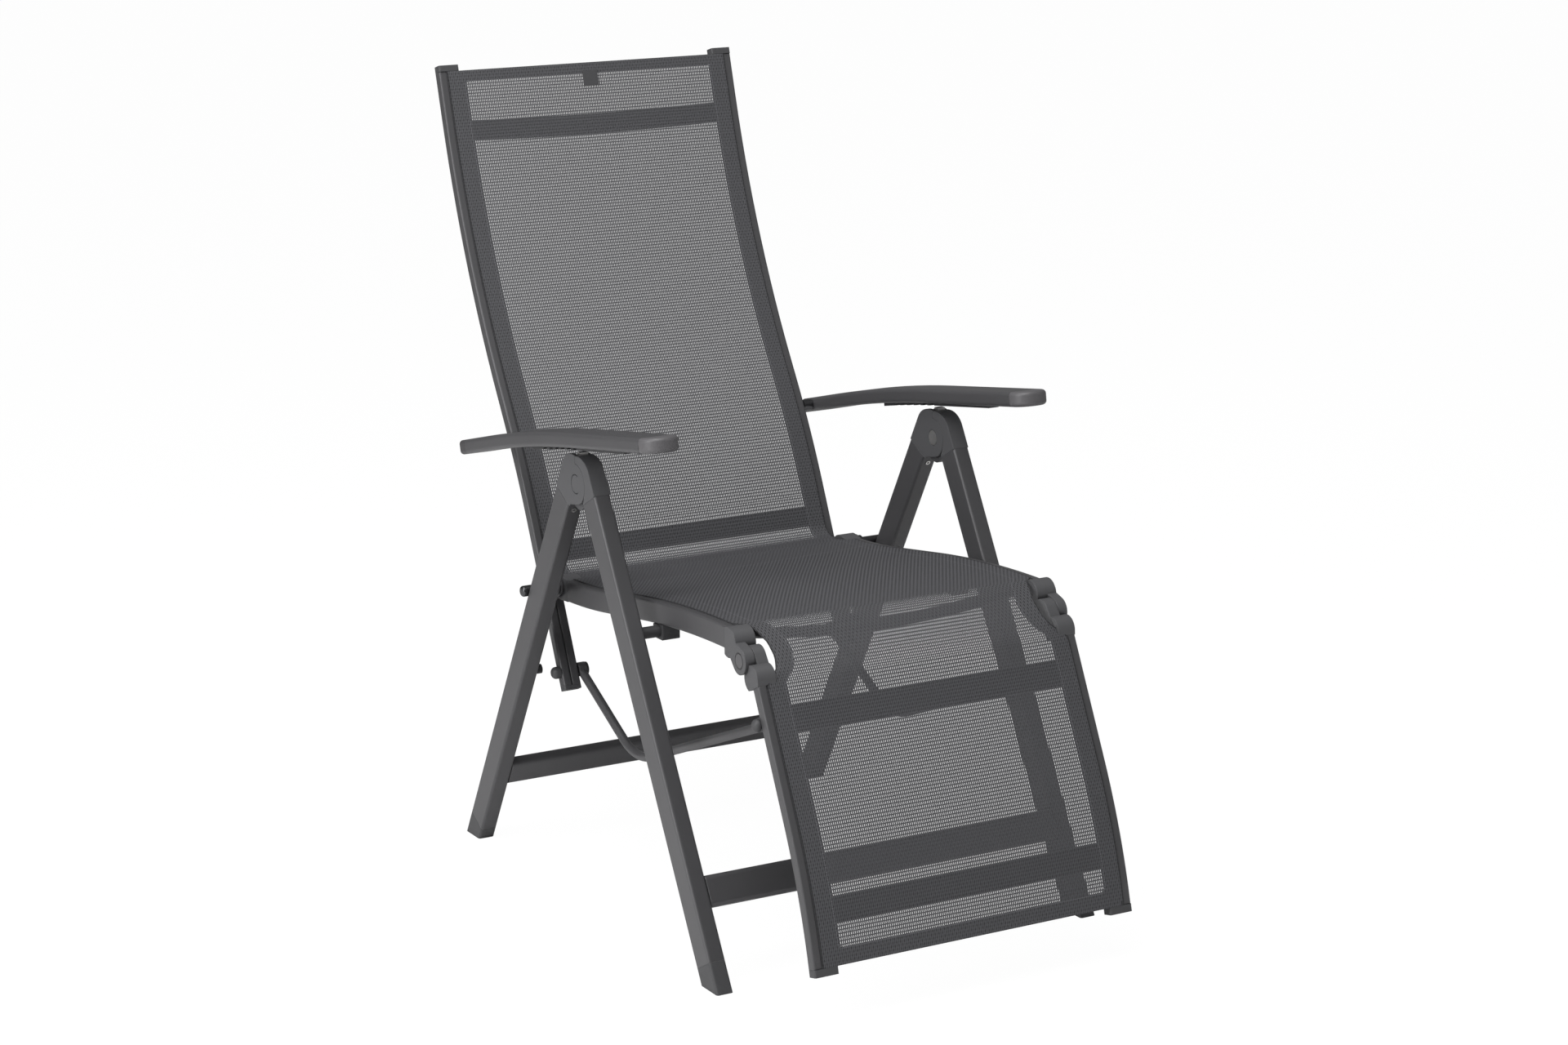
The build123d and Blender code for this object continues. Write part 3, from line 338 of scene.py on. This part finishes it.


# painted shade: a dark line along the seam behind the front cap; the rear cap is also made darker
def capSeamShade(y, z):
    tilt = math.radians(armLook["tilt"])
    arm = nodes["armrest_left"].data.vertices
    start = max(spot.co.z * math.sin(tilt) - spot.co.y * math.cos(tilt) for spot in arm)
    past = z * math.sin(tilt) - y * math.cos(tilt) - start
    seam = 1.0 - armLook["seamShade"] * (abs(past) < armLook["seam"])
    return seam * (1.0 - armLook["rearShade"] * (y > armLook["rear"]))


frameCoat = {"color": (0.087, 0.086, 0.090), "rough": 0.42}
plasticKinds = {  # colour, roughness and marks of painted shade
    "greyPlastic": ((0.078, 0.078, 0.082), 0.5, None),
    "darkPlastic": ((0.055, 0.055, 0.058), 0.55, None),
    "sewnTab": ((0.05, 0.05, 0.053), 0.8, None),
    "bufferRubber": ((0.035, 0.035, 0.036), 0.7, None),
    "pinPlastic": ((0.09, 0.088, 0.092), 0.5, pinRingShade),
    "armCapPlastic": ((0.100, 0.097, 0.102), 0.45, capSeamShade),
}
steelKinds = {"zincSteel": (0.62, 0.61, 0.6), "blackSteel": (0.10, 0.10, 0.105)}
plastics = {name: mouldedPlastic(name, *kind) for name, kind in plasticKinds.items()}
steels = {name: platedSteel(name, color) for name, color in steelKinds.items()}
finishes = {
    "frame_metal": coatedMetal("frameMetal", frameCoat["color"], frameCoat["rough"]),
    "grey_plastic": plastics["greyPlastic"],
    "dark_plastic": plastics["darkPlastic"],
    "bright_steel": steels["zincSteel"],
    "black_steel": steels["blackSteel"],
    "mesh_cloth": plastics["sewnTab"],  # for the tab alone, as new cloth replaces the slings
    "welt_cord": plastics["darkPlastic"],
    "buffer_rubber": plastics["bufferRubber"],
}
for row in frame["record"]["subparts"]:
    node = nodes[row["node"]]
    node.data.materials.clear()
    node.data.materials.append(finishes[row["material_slot"]])

# pieces whose plastic carries painted shade marks
shadeMarkedNodes = {
    "knuckle_pins": "pinPlastic",
    "armrest_caps_left": "armCapPlastic",
    "armrest_caps_right": "armCapPlastic",
}
for name, plastic in shadeMarkedNodes.items():
    nodes[name].data.materials[0] = plastics[plastic]
print("solid pieces finished")

# the mesh cloth

clothLook = {
    "color": (0.078, 0.078, 0.0845),
    "rough": 0.68,
    "gloss": 0.12,
    "across": 0.00282,  # pitch of the holes over the width
    "along": 0.00456,  # and over the length
    "open": (0.00034, 0.00176),  # half width and half length of a hole
    "closing": (0.0001012, 0.00044),  # what the yarn's thickness takes off them at a slant
    "steepest": 0.05,  # the least cosine that the slant is worked out with
    "pit": 1.1,  # size of the painted shade round a hole, in holes
    "hem": 0.0270,  # width of the edges without holes
    "shade": 0.0022,  # width of the painted shade line where the cloth goes into the rails
    "shadeLevel": 0.45,
    "cloud": (220.0, 2.0),  # scale and detail of the yarn's noise
    "bump": 0.7,
    "depth": 0.0004,
    "warpHeight": 0.6,
}
# yarn tone: level and cloud vary it; warp and weft paint light on each round thread's crown and shade on its
# flanks; pit is painted shade round the holes
yarnLook = {"level": 0.46, "warp": 0.46, "weft": 0.2, "cloud": 0.3, "pit": 0.35}
stitchLook = {"inside": 0.0015, "half": 0.0005, "pitch": 0.0030, "share": 0.62, "level": 0.7}
seamLook = {"place": 0.8705, "lean": 0.070, "half": 0.0006, "pitch": 0.0030, "share": 0.5, "level": 1.2}


def fromMiddle(place, pitch):
    # distance from the middle of the nearest cell
    return abs((place / pitch) % 1.0 - 0.5) * pitch


def stitches(off, along, look):
    # dashes of thread on the line where off is 0
    return (abs(off) < look["half"]) * ((along / look["pitch"]) % 1.0 < look["share"]) * look["level"]


def meshCloth(name, look):
    finish = Finish(name)
    flat = finish.node("ShaderNodeUVMap", {"uv_map": "flat"})
    u, v = axis(finish, flat, "X"), axis(finish, flat, "Y")
    rim = finish.node("ShaderNodeAttribute", {"attribute_name": "rim"}, None, "Fac")
    ribbed = finish.node("ShaderNodeAttribute", {"attribute_name": "ribbed"}, None, "Fac")
    backFace = finish.node("ShaderNodeNewGeometry", None, None, "Backfacing")
    cosine = 1.0 - finish.node("ShaderNodeLayerWeight", None, {"Blend": 0.5}, "Facing")
    slant = (1.0 - cosine ** 2.0) ** 0.5 / cosine.most(look["steepest"])
    sides, ends = fromMiddle(u, look["across"]), fromMiddle(v, look["along"])
    halfWidth, halfLength = look["open"]
    lostWidth, lostLength = look["closing"]
    hole = (sides < halfWidth - slant * lostWidth) * (ends < halfLength - slant * lostLength)
    # painted shade in the dip round each hole
    pit = (sides < halfWidth * look["pit"]) * (ends < halfLength * look["pit"])
    warpTurn, weftTurn = u * (math.pi / look["across"]), v * (math.pi / look["along"])
    warp, weft = abs((warpTurn + math.pi / 2).wave()), abs((weftTurn + math.pi / 2).wave())
    ribs = ribbed * warpTurn.wave() * weftTurn.wave()
    cloud = noise(finish, flat, *look["cloud"])
    # painted light and shade across the round yarn: lighter on each thread's crown, darker towards the holes
    yarn = varied(yarnLook["level"], yarnLook["cloud"], cloud) + yarnLook["warp"] * warp
    yarn = yarn + yarnLook["weft"] * weft + ribs - yarnLook["pit"] * pit
    # painted shade: the cloth is darker in a line where it goes into the rails
    slotShade = look["shadeLevel"] + (1 - look["shadeLevel"]) * (rim > look["shade"])
    hemThread = stitches(rim - look["hem"] + stitchLook["inside"], v, stitchLook)
    seam = stitches(v - seamLook["lean"] * u - seamLook["place"], u, seamLook)
    height = (warp * look["warpHeight"]).most(weft) + ribs
    bump = finish.node("ShaderNodeBump", None, {
        "Height": height, "Strength": look["bump"], "Distance": look["depth"]})
    return finish.surface({
        "Base Color": finish.tinted(look["color"], yarn * slotShade + hemThread + seam),
        "Roughness": varied(look["rough"], look["gloss"], cloud),
        "Alpha": (1.0 - hole * (rim > look["hem"])) * (1.0 - backFace), "Normal": bump})


sling = meshCloth("slingMesh", clothLook)

# the sling: five stretches of one cloth, from the foot of the leg rest to the top of the back

slingLook = {
    "thick": 0.0007,
    "edge": 0.22535,  # half width where the cloth enters the rails' slots
    "lip": 0.0026,  # how far it goes down into a slot
    "columns": 44,
    "step": 0.006,
    "crisp": 50,  # degrees, past which an edge isn't smoothed
}

# the lines of the rails in the side view: where each starts, measured from a joint, its heading, its parts
# as a length and a bend in degrees, how far from it the cloth lies, and how much the cloth leaves free
backRun = {"joint": "rear_fold", "start": (0.17681, -0.330), "heading": 66.7, "rise": 0.0088, "free": 0.2193,
           "parts": [(0.2356, 0), (0.16362, -7.5), (0.030, 0), (0.41364, 15.8), (0.0656, 0)]}
seatRun = {"joint": "rear_fold", "start": (-0.323, -0.147), "heading": 0, "rise": 0.0158, "free": 0,
           "parts": [(0.25800, -7.5), (0.100, 0), (0.11797, 5.5)]}
legRun = {"joint": "legrest_lift", "start": (-0.03507, -0.0274), "heading": -115, "rise": -0.0088, "free": 0,
          "parts": [(0.172, 0), (0.18501, 12.5)]}
kneeLook = {"pull": 0.020}  # how far the cloth keeps its direction at both ends of the bend
lapLook = {"joint": "recline", "corner": (0.05692, 0.0011), "radius": 0.025, "pull": 0.01}


def placeFrom(joint, offset):
    # a place in the side view, measured from a joint's axis
    return [axle + off for axle, off in zip(pivots[joint][1:], offset)]


def trace(run):
    # points and headings along straights and arcs in the side view, moved over to the cloth's side
    y, z = placeFrom(run["joint"], run["start"])
    heading = run["heading"]
    marks = [(y, z, heading)]
    for length, turned in run["parts"]:
        count = max(1, round(length / slingLook["step"]))
        for _ in range(count):
            middle = math.radians(heading + turned / count / 2)
            y += math.cos(middle) * length / count
            z += math.sin(middle) * length / count
            heading += turned / count
            marks.append((y, z, heading))
    moved = []
    for y, z, heading in marks[round(run["free"] / slingLook["step"]):]:
        turn = math.radians(heading)
        moved.append((y - math.sin(turn) * run["rise"], z + math.cos(turn) * run["rise"], heading))
    return moved


def easedCurve(before, after, pull):
    # a curve from one mark to another that leaves and meets them along their headings
    near, far = Vector(before[:2]), Vector(after[:2])
    leaving, meeting = math.radians(before[2]), math.radians(after[2])
    handles = [near, near + Vector((math.cos(leaving), math.sin(leaving))) * pull,
               far - Vector((math.cos(meeting), math.sin(meeting))) * pull, far]
    count = max(2, round(math.dist(near, far) / slingLook["step"]))
    marks = []
    for number in range(count + 1):
        part = number / count
        ends = [a.lerp(b, part) for a, b in zip(handles, handles[1:])]
        ends = [a.lerp(b, part) for a, b in zip(ends, ends[1:])]
        heading = math.degrees(math.atan2(*reversed(ends[1] - ends[0])))
        marks.append((*ends[0].lerp(ends[1], part), heading))
    return marks


def roundCorner(before, after, look):
    # straight on to a corner, round it, and straight on to the next run
    corner = Vector(placeFrom(look["joint"], look["corner"]))
    into, out = corner - Vector(before[:2]), Vector(after[:2]) - corner
    first, last = (math.degrees(math.atan2(line.y, line.x)) for line in (into, out))
    back = look["radius"] * math.tan(math.radians(last - first) / 2)
    arcPull = look["radius"] * 4 / 3 * math.tan(math.radians(last - first) / 4)  # nearly a circle's arc
    arcStart = (*(corner - into.normalized() * back), first)
    arcEnd = (*(corner + out.normalized() * back), last)
    turn = easedCurve(arcStart, arcEnd, arcPull)
    leadIn = easedCurve((*before[:2], first), turn[0], look["pull"])
    leadOut = easedCurve(turn[-1], (*after[:2], last), look["pull"])
    return leadIn[:-1] + turn + leadOut[1:]


def runLength(marks):
    return sum(math.dist(a[:2], b[:2]) for a, b in zip(marks, marks[1:]))


def wholeRows(marks):
    # the run's length in whole rows of holes
    return round(runLength(marks) / clothLook["along"]) * clothLook["along"]


def atShare(marks, share):
    # the place and heading after a share of the run's steps
    steps = len(marks) - 1
    first = min(steps - 1, int(share * steps))
    part = share * steps - first
    return [a + (b - a) * part for a, b in zip(marks[first], marks[first + 1])]


backMarks = trace(backRun)
seatMarks = trace(seatRun)
legMarks = [(y, z, heading + 180) for y, z, heading in reversed(trace(legRun))]
kneeMarks = easedCurve(legMarks[-1], seatMarks[0], kneeLook["pull"])
lapMarks = roundCorner(seatMarks[-1], backMarks[0], lapLook)

legStart = clothLook["along"] / 2  # the joints then run through the middle of a row of holes
kneeStart = legStart + wholeRows(legMarks)
seatStart = kneeStart + wholeRows(kneeMarks)
lapStart = seatStart + wholeRows(seatMarks)
backStart = lapStart + wholeRows(lapMarks)

cutOutline = [  # place along the sling, and how far the cloth is cut away there, round the knuckles
    (0.356, 0.0), (0.366, 0.0030), (0.376, 0.0105), (0.386, 0.0195), (0.403, 0.0255), (0.423, 0.0255),
    (0.440, 0.0197), (0.451, 0.0170), (0.460, 0.0145), (0.467, 0.0095), (0.475, 0.0015), (0.480, 0.0),
]
ribDepth = {"plain": 0.15, "knee": 0.5, "seat": 0.75, "lap": 0.4}  # of the weave's ribs
seatRibs = {"deepen": (0.0, 0.3), "fade": (0.84, 0.86)}  # shares of the seat's length
noHem = 1.0  # metres to a hem, where an end has none


def cutAway(place):
    for (low, first), (high, second) in zip(cutOutline, cutOutline[1:]):
        if low <= place < high:
            return first + (second - first) * (place - low) / (high - low)
    return 0.0


def smooth(low, high, value):
    share = min(1.0, max(0.0, (value - low) / (high - low)))
    return share * share * (3 - 2 * share)


def ribsBetween(first, last, share):
    return ribDepth[first] + (ribDepth[last] - ribDepth[first]) * share


def ribsOfSeat(share):
    deepened = ribsBetween("knee", "seat", smooth(*seatRibs["deepen"], share))
    return deepened + ribsBetween("seat", "lap", smooth(*seatRibs["fade"], share)) - ribDepth["seat"]


def clothSheet(name, marks, start, look):
    # a grid laid along the run, wide as the edge allows, with its sides down in the slots
    columns = slingLook["columns"]
    bm = bmesh.new()
    bmesh.ops.create_grid(bm, x_segments=columns, y_segments=len(marks) - 1, size=0.5)
    rim = bm.verts.layers.float.new("rim")
    ribbed = bm.verts.layers.float.new("ribbed")
    flat = bm.loops.layers.uv.new("flat")
    length = runLength(marks)
    woven = wholeRows(marks)
    overStart, overEnd = look["over"]
    places = {}
    for vert in bm.verts:
        column = round((vert.co.x + 0.5) * columns)
        share = vert.co.y + 0.5
        y, z, heading = atShare(marks, share)
        turn = math.radians(heading)
        edge = slingLook["edge"] - cutAway(start + share * woven)
        across = max(-1.0, min(1.0, (column - columns / 2) / (columns / 2 - 1)))  # the outer columns go down
        lip = look["lip"] if column in (0, columns) else 0.0
        x = across * edge
        drop = look["sag"] * (1 - across ** 2) * math.sin(math.pi * share) + lip
        places[vert.index] = (x + math.copysign(lip, x), start + share * woven)
        vert[rim] = min(edge - abs(x), share * length + overStart, (1 - share) * length + overEnd)
        vert[ribbed] = look["ribs"](share)
        vert.co = (x, y + math.sin(turn) * drop, z - math.cos(turn) * drop)
    for face in bm.faces:
        for loop in face.loops:
            loop[flat].uv = places[loop.vert.index]
    bmesh.ops.recalc_face_normals(bm, faces=bm.faces)
    piece = meshObject(name, bm, sling)
    thick = piece.modifiers.new("thick", "SOLIDIFY")
    thick.thickness = slingLook["thick"]
    thick.offset = 0
    piece.data = bpy.data.meshes.new_from_object(piece.evaluated_get(bpy.context.evaluated_depsgraph_get()))
    piece.modifiers.clear()
    for polygon in piece.data.polygons:
        polygon.use_smooth = True
    piece.data.set_sharp_from_angle(angle=math.radians(slingLook["crisp"]))
    return piece


# over gives, for each end, how much of the hem's width is turned over there, or noHem

legCloth = clothSheet("legCloth", legMarks, legStart, {
    "sag": 0.0, "lip": slingLook["lip"], "area": 1.0, "on": ["leg_rail_left", "leg_rail_right"],
    "over": (0.005, noHem), "ribs": lambda share: ribDepth["plain"]})
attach(legCloth, "legrest")
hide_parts("leg_sling")

kneeCloth = clothSheet("kneeCloth", kneeMarks, kneeStart, {
    "sag": 0.0, "lip": 0.0, "area": 0.95, "on": ["seat_rail_left", "seat_rail_right"],
    "over": (noHem, noHem), "ribs": lambda share: ribsBetween("plain", "knee", share)})
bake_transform(kneeCloth)

seatCloth = clothSheet("seatCloth", seatMarks, seatStart, {
    "sag": 0.003, "lip": slingLook["lip"], "area": 1.0, "on": ["seat_rail_left", "seat_rail_right"],
    "over": (noHem, noHem), "ribs": ribsOfSeat})
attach(seatCloth, "seat")
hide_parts("seat_sling")

lapCloth = clothSheet("lapCloth", lapMarks, lapStart, {
    "sag": 0.001, "lip": 0.0, "area": 1.0, "on": ["back_rail_left", "back_rail_right"],
    "over": (noHem, noHem), "ribs": lambda share: ribsBetween("lap", "plain", share)})
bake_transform(lapCloth)

backCloth = clothSheet("backCloth", backMarks, backStart, {
    "sag": 0.0015, "lip": slingLook["lip"], "area": 1.0, "on": ["back_rail_left", "back_rail_right"],
    "over": (noHem, 0.0115), "ribs": lambda share: ribDepth["plain"]})
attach(backCloth, "backrest")
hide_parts("back_sling")
print("the sling is in place")
